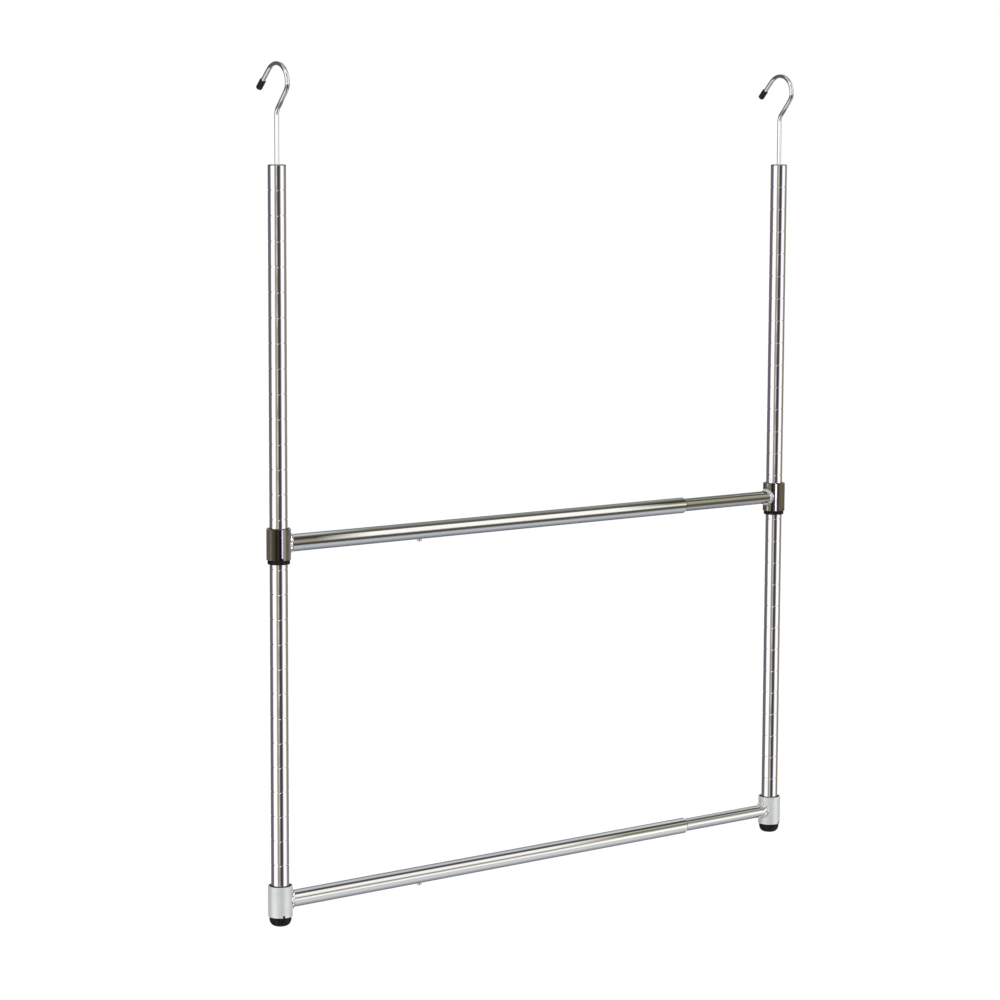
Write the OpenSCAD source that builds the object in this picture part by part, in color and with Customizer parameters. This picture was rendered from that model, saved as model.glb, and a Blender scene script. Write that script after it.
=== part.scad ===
// Hanging closet rod. Two grooved upright tubes hang by wire hooks from a closet rod and carry two
// telescoping rails, which rest on black wedges in collars welded to the rails' ends.
// Millimetres, +X along the rails, +Z up, front on the -Y side. The origin is the point of the
// left hook that bears on the closet rod, straight above the left upright's axis.

/* [Uprights] */
// Outside diameter of each upright tube
upright_d = 19; // [17:0.5:22]
// Wall of each upright tube
upright_wall = 1.2; // [1:0.1:1.6]
// Distance from one ring groove to the next
groove_pitch = 25.4; // [22:0.1:28]
// Number of ring grooves on each upright
groove_count = 29; // [26:1:32]
// Groove that holds the middle rail, counted from the top
mid_groove = 15; // [8:1:20]
// Depth of a ring groove
groove_depth = 0.5; // [0.3:0.1:0.6]
// Width of a ring groove at the tube's surface
groove_w = 2; // [1.6:0.1:2.6]

/* [Hooks] */
// Diameter of the hook wire
wire_d = 4.8; // [4:0.1:5.6]
// Largest closet rod that the hook takes
hook_bore_d = 33; // [28:0.5:38]
// Height of the hook's bearing point above the upright's top end
hook_rise = 97; // [90:1:130]
// Straight drop from the crown to the neck's upper bend
crown_drop = 1; // [0.5:0.5:6]
// Lean of the slanting neck, in degrees from upright
neck_lean = 40; // [30:1:44]
// Bend radius at both ends of the neck, to the middle of the wire
neck_bend_r = 12; // [7:0.5:15]
// Lean of the free leg, in degrees from upright
leg_lean = 44; // [34:1:50]
// Length of the free leg
leg_len = 24.5; // [20:0.5:32]
// Wall of the vinyl tip
tip_wall = 0.9; // [0.6:0.1:1.4]
// Length of the vinyl tip
tip_len = 11.5; // [8:0.5:15]
// Thickness of the tip's closed end
tip_end_t = 1.6; // [1:0.1:2.4]

/* [Top caps] */
// Thickness of the cap's rim, which sits on the end of the upright
cap_rim_t = 1.6; // [1.2:0.1:2]
// Thickness of the cap's top at the hook
cap_top_t = 2.6; // [2.2:0.1:4]
// Depth of the cap's skirt inside the upright
cap_skirt_h = 9; // [7:0.5:14]
// Wall of the cap's skirt
cap_wall = 1.2; // [0.8:0.1:1.6]
// Radius on the cap's top edge
cap_edge_r = 1; // [0.4:0.1:1.1]
// Diameter of the retainer ring on the hook's shank
retainer_d = 10; // [8.5:0.5:11]
// Height of the retainer ring
retainer_h = 3; // [2:0.5:5]
// Height of the shank's peened head below the retainer
peen_h = 1; // [0.6:0.1:2]
// How far the peened head stands out round the shank
peen_lip = 0.9; // [0.5:0.1:1.2]

/* [Collars and wedges] */
// Height of each collar
collar_h = 32; // [30:0.5:38]
// Wall of a collar at its lower rim
collar_wall = 1.2; // [1:0.1:2]
// Break on the collar's edges
collar_edge = 0.4; // [0.1:0.1:0.6]
// Wall of the black wedges at their thick lower end
wedge_t = 1.8; // [1.6:0.1:2.6]
// How much thinner the wedges are one collar's height up
wedge_taper = 0.55; // [0.3:0.05:0.8]
// Width of the notch in the collar's lower rim
notch_w = 2.4; // [1.8:0.1:4]
// Height of the notch in the collar's lower rim
notch_h = 2.6; // [1.8:0.1:4]
// Turn of the notch from the front, away from the rail, in degrees
notch_turn = 17; // [0:1:30]
// Reach of the weld bead round a rail's end
weld_leg = 2.2; // [1:0.1:2.8]
// How far the wedges' top ends lie below the collars' upper rims
wedge_recess = 0.8; // [0.4:0.1:2]

/* [Middle sleeves] */
// Height of the sleeve that shows below a middle collar
sleeve_show = 4.3; // [2.5:0.1:6]
// Gap where the two halves of a sleeve meet
split_gap = 0.6; // [0.3:0.1:1]
// Length of the tongue that reaches into the other half
tongue_len = 1.6; // [1:0.1:2.5]
// Height of the tongue
tongue_h = 7; // [4:0.5:10]
// How far the tongue's middle lies above the middle of the sleeve
tongue_rise = 4; // [3.5:0.5:6]

/* [Feet] */
// Distance from the last groove down to the bottom rail's axis
foot_drop = 12.7; // [10:0.1:14]
// How far the upright reaches below the bottom collar
upright_past = 2; // [1:0.1:3]
// Height of the foot that shows below the bottom collar
foot_show = 10; // [8:0.5:14]
// Straight band at the top of the shown foot
foot_band = 2.4; // [1:0.1:4]
// Radius of the foot's flat underside
foot_flat_r = 5.5; // [4:0.5:8]
// Width of the slots that let the foot snap over the upright's end
slot_w = 1.4; // [1:0.1:2]
// Depth of those slots from the foot's top end
slot_h = 16; // [10:1:20]

/* [Rails] */
// Outside diameter of the outer rail tubes
outer_d = 18.5; // [17.5:0.5:19.5]
// Wall of the outer rail tubes
outer_wall = 1.2; // [0.8:0.1:1.4]
// Wall of the inner rail tubes
inner_wall = 1; // [0.8:0.1:1.2]
// Clearance all round between the inner and outer rail tubes
rail_gap = 0.5; // [0.3:0.05:0.8]
// From the left upright's axis to the middle outer tube's mouth
mid_mouth_x = 548; // [540:1:565]
// From the left upright's axis to the bottom outer tube's mouth
bottom_mouth_x = 555; // [540:1:565]
// Radius of the rolled edge at the outer tubes' mouths
mouth_roll_r = 2.2; // [1:0.1:3]
// From the left upright's axis to the first button hole
first_hole_x = 76.2; // [72:0.1:84]
// Distance from one button hole to the next
hole_pitch = 25.4; // [22:0.1:26]
// Number of button holes in each outer tube
hole_count = 13; // [8:1:14]
// Hole that the button stands in, counted from 0 at the left
rest_hole = 4; // [0:1:7]
// From the snap button to the right upright's axis
button_to_upright = 512.2; // [510:0.1:540]
// How far the inner tube reaches past the button
inner_tail = 22; // [18:1:30]

/* [Snap buttons] */
// Diameter of the snap button
button_d = 5.4; // [4.4:0.1:6]
// How far the button stands out of the outer tube
button_stand = 2.4; // [1.6:0.1:3]
// Width of the button's flange beyond its stem, all round
flange_lip = 0.9; // [0.5:0.1:1.2]
// Thickness of the button's flange
flange_t = 1; // [0.8:0.1:1.4]
// Thickness of the leaf spring
leaf_t = 0.5; // [0.4:0.05:0.7]
// Width of the leaf spring
leaf_w = 6; // [5:0.5:7]
// Length of the lower leaf from the button to the bend
leaf_len = 18; // [14:1:24]
// Radius of the leaf spring's bend
leaf_bend_r = 2.5; // [2:0.1:3]
// Length of the lower leaf behind the button
leaf_back = 6; // [4:0.5:9]
// Radius of the rivet that holds the leaf to the button
rivet_r = 1.1; // [0.8:0.1:1.3]
// How far the rivet's head stands out round the rivet
rivet_lip = 0.7; // [0.5:0.1:1]
// Thickness of the rivet's head
rivet_head_t = 0.6; // [0.4:0.1:0.8]

/* [Hidden] */
$fn = 64;

// Clearances: pressed parts, turning shank, wedge on upright, collar on wedge, bead in groove
press_gap = 0.03;
turn_gap = 0.1;
snug_gap = 0.1;
seat_gap = 0.1;
bead_gap = 0.15;
side_gap = 0.2;
// Clearances: general, cut-through, key in notch, mouth round the inner tube, leaf off its tube
fit_gap = 0.2;
cut = 1;
key_gap = 0.2;
mouth_gap = 0.2;
leaf_gap = 0.12;
// Flats in a small rounded edge, and in a large one
edge_steps = 6;
round_steps = 12;
// How much thicker the wire's bends are than its straights, and how far these reach into them
bend_swell = 0.02;
bend_grip = 0.4;

// Chrome and black colours
chrome = [0.80, 0.81, 0.83];
chrome_wire = [0.86, 0.87, 0.88];
black_plastic = [0.09, 0.09, 0.10];
spring_steel = [0.55, 0.56, 0.58];

// Radii that the pieces share
upright_r = upright_d / 2;
upright_bore_r = upright_r - upright_wall;
wire_r = wire_d / 2;
wedge_bore_r = upright_r + snug_gap;
wedge_low_r = wedge_bore_r + wedge_t;
collar_low_bore_r = wedge_low_r + seat_gap;
collar_r = collar_low_bore_r + collar_wall;
wedge_slope = wedge_taper / collar_h;
wedge_h = collar_h - wedge_recess;
outer_r = outer_d / 2;
outer_bore_r = outer_r - outer_wall;
inner_r = outer_bore_r - rail_gap;
inner_bore_r = inner_r - inner_wall;

// Heights
z_top = -hook_rise;
mid_z = z_top - mid_groove * groove_pitch;
last_groove_z = z_top - groove_count * groove_pitch;
bottom_z = last_groove_z - foot_drop;
mid_rim_z = mid_z - collar_h / 2;
bottom_rim_z = bottom_z - collar_h / 2;
upright_end_z = bottom_rim_z - upright_past;
cap_under_z = z_top - cap_top_t;

// Places along the rails
button_x = first_hole_x + rest_hole * hole_pitch;
width = button_x + button_to_upright;

// Hook, drawn in a plane with u to the back and v up from the bearing point
crown_r = hook_bore_d / 2 + wire_r;
crown_v = -hook_bore_d / 2;
bend_inset = neck_bend_r * (1 - cos(neck_lean));
neck_len = (crown_r - 2 * bend_inset) / sin(neck_lean);
neck_top = [-crown_r + bend_inset, crown_v - crown_drop - neck_bend_r * sin(neck_lean)];
neck_dir = [sin(neck_lean), -cos(neck_lean)];
neck_foot = neck_top + neck_len * neck_dir;
shank_top_v = neck_foot[1] - neck_bend_r * sin(neck_lean);
leg_top = [crown_r * cos(leg_lean), crown_v + crown_r * sin(leg_lean)];
leg_dir = [sin(leg_lean), -cos(leg_lean)];
leg_end = leg_top + leg_len * leg_dir;
retainer_top_z = cap_under_z - fit_gap;
retainer_foot_z = retainer_top_z - retainer_h;

// Snap button, with heights from the rail's axis
hole_r = button_d / 2 + fit_gap + press_gap;
flange_r = button_d / 2 + flange_lip;
flange_low = -(sqrt(inner_bore_r * inner_bore_r - flange_r * flange_r) - leaf_gap);
leaf_low = flange_low + flange_t + leaf_gap;
leaf_mid = leaf_low + leaf_t / 2;
leaf_high = sqrt(inner_bore_r * inner_bore_r - leaf_w * leaf_w / 4) - leaf_gap - leaf_t / 2;
leaf_rise_len = leaf_len + 2 * leaf_back;
rivet_head_r = rivet_r + rivet_lip;
rivet_low = leaf_low + leaf_t + leaf_gap;
button_dome_r = button_d * 3 / 8;

// Outline of one ring groove of the upright, as radius and height, from the bottom up
function groove_points(z) = [
    [upright_r, z - groove_w / 2],
    [upright_r - groove_depth, z - groove_w / 4],
    [upright_r - groove_depth, z + groove_w / 4],
    [upright_r, z + groove_w / 2]
];

// Half width of the bead that seats in a groove, at radius r
function bead_half(r) =
    groove_w / 4 + (groove_w / 4 / groove_depth) * (r - upright_r + groove_depth) - side_gap;

// Outline of the bead inside a wedge, from the top down
function bead_points(z) = [
    [wedge_bore_r, z + bead_half(wedge_bore_r)],
    [upright_r - groove_depth + bead_gap, z + bead_half(upright_r - groove_depth + bead_gap)],
    [upright_r - groove_depth + bead_gap, z - bead_half(upright_r - groove_depth + bead_gap)],
    [wedge_bore_r, z - bead_half(wedge_bore_r)]
];

// Quarter round from angle a0 to a1 about a centre, with its own radius each way
function arc_points(centre, ru, rv, a0, a1, steps) = [
    for (i = [0 : steps])
        centre + [ru * cos(a0 + (a1 - a0) * i / steps), rv * sin(a0 + (a1 - a0) * i / steps)]
];

// Strip of thickness t along a path, as one closed outline
function path_normal(p, i) =
    let (a = p[max(i - 1, 0)], b = p[min(i + 1, len(p) - 1)], d = b - a) [-d[1], d[0]] / norm(d);
function strip(p, t) = concat(
    [for (i = [0 : len(p) - 1]) p[i] + path_normal(p, i) * t / 2],
    [for (i = [len(p) - 1 : -1 : 0]) p[i] - path_normal(p, i) * t / 2]
);

// Turns a shape about the vertical axis into one about the X axis
module along_x() {
    rotate([0, 90, 0]) children();
}

module upright() {
    color(chrome) rotate_extrude() polygon(concat(
        [[upright_bore_r, upright_end_z], [upright_r, upright_end_z]],
        [for (k = [groove_count : -1 : 1]) each groove_points(z_top - k * groove_pitch)],
        [[upright_r, z_top - cap_rim_t], [upright_bore_r, z_top - cap_rim_t]]
    ));
}

module top_cap() {
    plug_r = upright_bore_r - press_gap;
    bore_r = wire_r + turn_gap;
    skirt_z = -cap_rim_t - cap_skirt_h;
    color(chrome) translate([0, 0, z_top]) rotate_extrude() polygon(concat(
        [[bore_r, -cap_top_t], [bore_r, 0]],
        arc_points([upright_r - cap_edge_r, -cap_edge_r], cap_edge_r, cap_edge_r, 90, 0, edge_steps),
        [
            [upright_r, -cap_rim_t], [plug_r, -cap_rim_t], [plug_r, skirt_z],
            [plug_r - cap_wall, skirt_z], [plug_r - cap_wall, -cap_top_t]
        ]
    ));
}

// One round bend of the wire: centre and radius in the hook's plane, start angle and turn.
// A bend is thicker than the straights by a hair, so that a straight's end lies inside it.
module wire_bend(centre, r, start, turn) {
    translate(centre) rotate([0, 0, start]) rotate_extrude(angle = turn)
        translate([r, 0]) circle(wire_r + bend_swell);
}

// One straight of the wire between two bends, from a point along a direction
module wire_straight(from, dir, length) {
    translate(from) rotate([0, 0, atan2(dir[1], dir[0])]) along_x()
        translate([0, 0, -bend_grip]) cylinder(h = length + 2 * bend_grip, r = wire_r);
}

// Stands the hook's plane upright, with u along +Y and v along +Z
module hook_plane() {
    rotate([90, 0, 90]) children();
}

module hook() {
    shank_len = shank_top_v - retainer_foot_z + peen_h;
    color(chrome_wire) {
        hook_plane() {
            wire_straight(leg_top, leg_dir, leg_len - bend_grip);
            wire_bend([0, crown_v], crown_r, leg_lean, 180 - leg_lean);
            wire_straight([-crown_r, crown_v], [0, -1], crown_drop);
            wire_bend([-crown_r + neck_bend_r, crown_v - crown_drop], neck_bend_r, 180, neck_lean);
            wire_straight(neck_top, neck_dir, neck_len);
            wire_bend([-neck_bend_r, shank_top_v], neck_bend_r, 0, neck_lean);
            wire_straight([0, shank_top_v], [0, -1], shank_len - bend_grip);
        }
        translate([0, 0, retainer_foot_z - peen_h])
            cylinder(h = peen_h - press_gap, r1 = wire_r + peen_lip / 2, r2 = wire_r + peen_lip);
    }
}

module hook_tip() {
    tip_r = wire_r + press_gap + tip_wall;
    bore_end = tip_len - tip_end_t;
    bore_r = wire_r + press_gap;
    turn = atan2(leg_dir[1], leg_dir[0]);
    color(black_plastic) hook_plane() translate(leg_end) rotate([0, 0, turn]) along_x()
        translate([0, 0, press_gap - bore_end]) rotate_extrude() polygon(concat(
            [[0, tip_len], [0, bore_end], [bore_r, bore_end], [bore_r, 0], [tip_r, 0]],
            arc_points([tip_r - tip_end_t, tip_len - tip_end_t], tip_end_t, tip_end_t, 0, 90, edge_steps)
        ));
}

module hook_retainer() {
    color(spring_steel) translate([0, 0, retainer_foot_z]) difference() {
        cylinder(h = retainer_h, d = retainer_d);
        translate([0, 0, -cut]) cylinder(h = retainer_h + 2 * cut, r = wire_r + press_gap);
    }
}

// Key on a wedge, in the front notch of the collar above it. Heights here and in the wedges,
// collars and feet below count from the collar's lower rim.
module wedge_key() {
    key_w = notch_w - 2 * key_gap;
    reach = collar_r - collar_edge - wedge_bore_r - wedge_t / 2;
    translate([-key_w / 2, -wedge_bore_r - wedge_t / 2 - reach, 0])
        cube([key_w, reach, notch_h - key_gap]);
}

// Half of a sleeve: the front one. The back one is the same moulding, turned round.
module sleeve_half(rim_z, groove_z) {
    foot = -sleeve_show;
    edge = collar_edge;
    tongue_r = wedge_bore_r + wedge_t / 3;
    tongue_z = wedge_h / 2 - tongue_h / 2 + tongue_rise;
    translate([0, 0, rim_z]) difference() {
        union() {
            intersection() {
                rotate_extrude() polygon(concat(
                    bead_points(groove_z - rim_z),
                    [
                        [wedge_bore_r, foot], [wedge_low_r - edge, foot], [wedge_low_r, foot + edge],
                        [wedge_low_r, 0], [wedge_low_r - wedge_slope * wedge_h, wedge_h],
                        [wedge_bore_r, wedge_h]
                    ]
                ));
                translate([-collar_r, -collar_r, foot - cut])
                    cube([2 * collar_r, collar_r - split_gap / 2, collar_h + sleeve_show + 2 * cut]);
            }
            wedge_key();
            intersection() {
                difference() {
                    cylinder(h = collar_h, r = tongue_r + wedge_t / 3);
                    translate([0, 0, -cut]) cylinder(h = collar_h + 2 * cut, r = tongue_r);
                }
                translate([0, -split_gap, tongue_z])
                    cube([collar_r, split_gap / 2 + split_gap + tongue_len, tongue_h]);
            }
        }
        translate([-collar_r, -split_gap / 2 - tongue_len - fit_gap, tongue_z - fit_gap])
            cube([collar_r, tongue_len + 2 * fit_gap, tongue_h + 2 * fit_gap]);
    }
}

// Foot; side is 1 for the left one and -1 for the right one
module foot(side) {
    floor_h = -upright_past - press_gap;
    color(black_plastic) translate([0, 0, bottom_rim_z]) difference() {
        union() {
            rotate_extrude() polygon(concat(
                bead_points(last_groove_z - bottom_rim_z),
                [[wedge_bore_r, floor_h], [0, floor_h], [0, -foot_show]],
                arc_points(
                    [foot_flat_r, -foot_band], wedge_low_r - foot_flat_r, foot_show - foot_band,
                    -90, 0, round_steps
                ),
                [[wedge_low_r, 0], [wedge_low_r - wedge_slope * wedge_h, wedge_h], [wedge_bore_r, wedge_h]]
            ));
            rotate([0, 0, -side * notch_turn]) {
                wedge_key();
                mirror([0, 1, 0]) wedge_key();
            }
        }
        for (a = [45 : 90 : 315])
            rotate([0, 0, a]) translate([0, -slot_w / 2, wedge_h - slot_h])
                cube([collar_r, slot_w, slot_h + cut]);
    }
}

// Collar with its weld bead; side is 1 for a rail that leaves to the right and -1 to the left
module collar(rim_z, rail_r, side) {
    top_bore_r = collar_low_bore_r - wedge_taper;
    bead_r = rail_r + weld_leg;
    color(chrome) translate([0, 0, rim_z]) {
        difference() {
            rotate_extrude() polygon([
                [collar_low_bore_r, 0], [collar_r - collar_edge, 0], [collar_r, collar_edge],
                [collar_r, collar_h - collar_edge], [collar_r - collar_edge, collar_h],
                [top_bore_r, collar_h]
            ]);
            rotate([0, 0, -side * notch_turn]) translate([-notch_w / 2, -collar_r - cut, -cut])
                cube([notch_w, 2 * collar_r + 2 * cut, notch_h + cut]);
        }
        translate([0, 0, collar_h / 2]) difference() {
            intersection() {
                rotate([0, 90 * side, 0]) rotate_extrude() polygon([
                    [rail_r + press_gap, 0], [bead_r, 0], [bead_r, collar_r],
                    [rail_r + weld_leg / 4, collar_r + weld_leg], [rail_r + press_gap, collar_r + weld_leg]
                ]);
                cylinder(h = collar_h, r = collar_r + weld_leg, center = true);
            }
            cylinder(h = collar_h + cut, r = collar_r - collar_wall / 2, center = true);
        }
    }
}

// Cuts a rail's end to the round of the collar it is welded to
module cope(z) {
    translate([0, 0, z]) cylinder(h = 2 * outer_d, r = collar_r + press_gap, center = true);
}

// Outer tube, with its mouth rolled in till it nearly meets the inner tube
module outer_tube(z, mouth_x) {
    lip_r = inner_r + mouth_gap;
    roll_turn = acos((lip_r - outer_r + mouth_roll_r) / mouth_roll_r);
    roll_start = mouth_x - mouth_roll_r * sin(roll_turn);
    color(chrome) difference() {
        translate([0, 0, z]) along_x() rotate_extrude() polygon(concat(
            [[outer_bore_r, 0], [outer_r, 0]],
            arc_points(
                [outer_r - mouth_roll_r, roll_start], mouth_roll_r, mouth_roll_r,
                0, roll_turn, edge_steps
            ),
            [[lip_r, mouth_x - outer_wall], [outer_bore_r, mouth_x - 2 * mouth_roll_r]]
        ));
        cope(z);
        for (i = [0 : hole_count - 1])
            translate([first_hole_x + i * hole_pitch, 0, z - outer_r - cut])
                cylinder(h = outer_r, r = hole_r);
    }
}

module inner_tube(z) {
    color(chrome) difference() {
        translate([button_x - inner_tail, 0, z]) along_x() difference() {
            cylinder(h = width - button_x + inner_tail, r = inner_r);
            translate([0, 0, -cut]) cylinder(h = width - button_x + inner_tail + 2 * cut, r = inner_bore_r);
        }
        translate([width, 0, 0]) cope(z);
        translate([button_x, 0, z - inner_r - cut]) cylinder(h = inner_r, r = hole_r);
    }
}

module snap_button(z) {
    stem_r = button_d / 2;
    tip_z = -outer_r - button_stand;
    color(spring_steel) translate([button_x, 0, z]) rotate_extrude() polygon(concat(
        [[0, tip_z]],
        arc_points(
            [stem_r - button_dome_r, tip_z + button_dome_r], button_dome_r, button_dome_r,
            -90, 0, edge_steps
        ),
        [
            [stem_r, flange_low], [flange_r, flange_low], [flange_r, flange_low + flange_t],
            [rivet_r, flange_low + flange_t], [rivet_r, rivet_low],
            [rivet_head_r, rivet_low], [rivet_head_r, rivet_low + rivet_head_t],
            [0, rivet_low + rivet_head_t]
        ]
    ));
}

module button_spring(z) {
    bend_centre = [leaf_len, leaf_mid + leaf_bend_r];
    path = concat(
        [[-leaf_back, leaf_mid]],
        arc_points(bend_centre, leaf_bend_r, leaf_bend_r, -90, 90, round_steps),
        [[leaf_len - leaf_rise_len, leaf_high]]
    );
    color(spring_steel) translate([button_x, 0, z]) difference() {
        rotate([90, 0, 0]) linear_extrude(height = leaf_w, center = true) polygon(strip(path, leaf_t));
        translate([0, 0, leaf_low - cut]) cylinder(h = leaf_t + 2 * cut, r = rivet_r + fit_gap);
    }
}

module left_upright() { upright(); }
module right_upright() { translate([width, 0, 0]) upright(); }
module left_top_cap() { top_cap(); }
module right_top_cap() { translate([width, 0, 0]) top_cap(); }
module left_hook() { hook(); }
module right_hook() { translate([width, 0, 0]) hook(); }
module left_hook_tip() { hook_tip(); }
module right_hook_tip() { translate([width, 0, 0]) hook_tip(); }
module left_hook_retainer() { hook_retainer(); }
module right_hook_retainer() { translate([width, 0, 0]) hook_retainer(); }
module left_foot() { foot(1); }
module right_foot() { translate([width, 0, 0]) foot(-1); }
module mid_left_collar() { collar(mid_rim_z, outer_r, 1); }
module mid_right_collar() { translate([width, 0, 0]) collar(mid_rim_z, inner_r, -1); }
module bottom_left_collar() { collar(bottom_rim_z, outer_r, 1); }
module bottom_right_collar() { translate([width, 0, 0]) collar(bottom_rim_z, inner_r, -1); }
module mid_sleeve(turn) {
    color(black_plastic) rotate([0, 0, turn]) sleeve_half(mid_rim_z, mid_z);
}
module mid_left_sleeve_front() { mid_sleeve(-notch_turn); }
module mid_left_sleeve_back() { mid_sleeve(180 - notch_turn); }
module mid_right_sleeve_front() { translate([width, 0, 0]) mid_sleeve(notch_turn); }
module mid_right_sleeve_back() { translate([width, 0, 0]) mid_sleeve(180 + notch_turn); }
module mid_outer_tube() { outer_tube(mid_z, mid_mouth_x); }
module mid_inner_tube() { inner_tube(mid_z); }
module bottom_outer_tube() { outer_tube(bottom_z, bottom_mouth_x); }
module bottom_inner_tube() { inner_tube(bottom_z); }
module mid_button() { snap_button(mid_z); }
module bottom_button() { snap_button(bottom_z); }
module mid_button_spring() { button_spring(mid_z); }
module bottom_button_spring() { button_spring(bottom_z); }

left_upright();
right_upright();
left_top_cap();
right_top_cap();
left_hook();
right_hook();
left_hook_tip();
right_hook_tip();
left_hook_retainer();
right_hook_retainer();
left_foot();
right_foot();
mid_left_collar();
mid_right_collar();
bottom_left_collar();
bottom_right_collar();
mid_left_sleeve_front();
mid_left_sleeve_back();
mid_right_sleeve_front();
mid_right_sleeve_back();
mid_outer_tube();
mid_inner_tube();
bottom_outer_tube();
bottom_inner_tube();
mid_button();
bottom_button();
mid_button_spring();
bottom_button_spring();
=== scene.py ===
import math

import bmesh
import bpy
from mathutils import Matrix, Vector, noise


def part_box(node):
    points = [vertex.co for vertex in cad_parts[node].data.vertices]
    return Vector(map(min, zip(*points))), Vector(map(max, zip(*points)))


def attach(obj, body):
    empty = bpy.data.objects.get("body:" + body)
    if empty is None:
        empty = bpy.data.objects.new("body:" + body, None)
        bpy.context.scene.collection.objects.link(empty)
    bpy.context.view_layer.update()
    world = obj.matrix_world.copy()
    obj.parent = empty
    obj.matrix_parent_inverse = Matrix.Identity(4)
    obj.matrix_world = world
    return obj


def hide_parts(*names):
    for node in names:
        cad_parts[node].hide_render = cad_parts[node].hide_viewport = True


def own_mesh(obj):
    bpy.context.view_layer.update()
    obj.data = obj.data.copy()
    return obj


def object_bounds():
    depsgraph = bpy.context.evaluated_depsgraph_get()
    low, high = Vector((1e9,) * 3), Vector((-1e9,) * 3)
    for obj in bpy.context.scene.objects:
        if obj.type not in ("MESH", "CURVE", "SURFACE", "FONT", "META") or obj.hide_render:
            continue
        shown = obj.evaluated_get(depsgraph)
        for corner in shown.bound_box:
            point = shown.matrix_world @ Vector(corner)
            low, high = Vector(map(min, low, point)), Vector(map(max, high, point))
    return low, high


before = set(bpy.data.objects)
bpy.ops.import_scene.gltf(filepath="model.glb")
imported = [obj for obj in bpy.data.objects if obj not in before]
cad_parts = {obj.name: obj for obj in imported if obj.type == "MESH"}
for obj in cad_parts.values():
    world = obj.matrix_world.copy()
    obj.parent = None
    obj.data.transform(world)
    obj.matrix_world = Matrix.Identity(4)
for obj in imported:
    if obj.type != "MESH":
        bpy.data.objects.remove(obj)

cad_low, cad_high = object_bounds()

MM = 0.001
# Points that lie closer than this become one
MERGE = MM / 1000
# Points this near to a tube's end are fitted to its collar
END_REACH = MM / 10

# Steps round the pieces and along their arcs
TURN_STEPS = 96
SMALL_TURN_STEPS = 48
DRILL_STEPS = 32
ROUND_STEPS = 24
DOME_STEPS = 12
EDGE_STEPS = 6
NOTCH_STEPS = 4

# Sizes of the pieces that their boxes in the frame don't give
UPRIGHT_WALL = 1.2 * MM
GROOVE_PITCH = 25.4 * MM
GROOVE_COUNT = 29
GROOVE_DEPTH = 0.25 * MM
GROOVE_HALF = 1 * MM
GROOVE_STEPS = 10

CAP_RIM_T = 1.6 * MM
CAP_TOP_T = 2.6 * MM
CAP_SKIRT_H = 9 * MM
CAP_WALL = 1.2 * MM
CAP_EDGE_R = 1.6 * MM
CAP_BORE_R = 2.5 * MM
PRESS_GAP = 0.03 * MM

WIRE_R = 2.4 * MM
WIRE_STEPS = 40
HOOK_BORE_R = 16.5 * MM
CROWN_DROP = 1 * MM
NECK_LEAN = 40
NECK_BEND_R = 12 * MM
LEG_LEAN = 44
LEG_LEN = 24.5 * MM
WIRE_BEND_STEP = 3
PEEN_H = 1 * MM

TIP_WALL = 0.9 * MM
TIP_LEN = 11.5 * MM
TIP_END_T = 1.6 * MM
TIP_NOSE_R = 1.5 * TIP_END_T
TIP_RIM_R = 0.35 * MM

COLLAR_WALL = 1.2 * MM
COLLAR_EDGE = 0.4 * MM
COLLAR_RIM_T = 0.75 * MM
COLLAR_SINK_H = 0.9 * MM
WEDGE_TAPER = 0.55 * MM
NOTCH_W = 2.4 * MM
NOTCH_H = 2.6 * MM
NOTCH_SHOULDER_H = 1.5 * NOTCH_H
NOTCH_R = 0.6 * MM
NOTCH_TURN = 17

# Weld beads: reach along the rail and up the collar, then ripples, lumps and specks round the rail
WELD_RUN = 2.8 * MM
WELD_LEG = 2.1 * MM
WELD_SINK = 0.35 * MM
WELD_STEPS = 160
WELD_RIPPLES = 23
WELD_RIPPLE_SHIFT = 3
WELD_RIPPLE = 0.05
WELD_LUMPS = 2.2
WELD_LUMP = 0.22
WELD_SPATTER = 1.3 * MM
WELD_SPECKS = 9
WELD_SPECKS_ACROSS = 2.5
WELD_SEED = 7
SECTION_STEPS = 10

OUTER_WALL = 1.2 * MM
INNER_WALL = 1 * MM
MOUTH_ROLL_R = 2.2 * MM
MOUTH_GAP = 0.2 * MM
HOLE_R = 2.93 * MM
HOLE_PITCH = 25.4 * MM
HOLE_COUNT = 13
HOLES_BEFORE_BUTTON = 4
HOLE_MARGIN = 4.2 * MM
SADDLE_SINK = 0.3 * MM

BUTTON_R = 2.7 * MM
BUTTON_DOME_R = 2 * MM
FLANGE_T = 1 * MM
RIVET_R = 1.1 * MM
RIVET_HEAD_R = 1.8 * MM
RIVET_HEAD_T = 0.6 * MM
RIVET_GRIP = 0.74 * MM
LEAF_T = 0.5 * MM
LEAF_EDGE = 0.1 * MM
LEAF_BEND_R = 2.5 * MM
LEAF_BACK = 6 * MM
LEAF_HOLE_R = 1.3 * MM

WEDGE_BORE_R = 9.6 * MM
WEDGE_H = 31.2 * MM
FOOT_BAND = 2.4 * MM
FOOT_FLAT_R = 5.5 * MM
FOOT_FLOOR_H = 2.03 * MM
FOOT_SHOW = 10 * MM
KEY_W = 2 * MM
KEY_H = 2.4 * MM
SLOT_W = 1.4 * MM
SLOT_H = 16 * MM

# How square a face stands to a tube's wall to take the wall's normals, or inwards to take the painted
# shade of a collar's bore
WALL_FACING = 0.995
BORE_FACING = 0.5

# Grain of the surfaces: features per metre, and how they stretch along an axis
ALONG_Z = (1, 1, 0.02)
ALONG_X = (0.02, 1, 1)
ALL_WAYS = (1, 1, 1)
LINE_SCALE = 900
WAVE_SCALE = 160
WAVE_HEIGHT = 0.008 * MM
CLOUD_SCALE = 260
CLOUD_STRETCH = (1, 1, 0.4)
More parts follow.
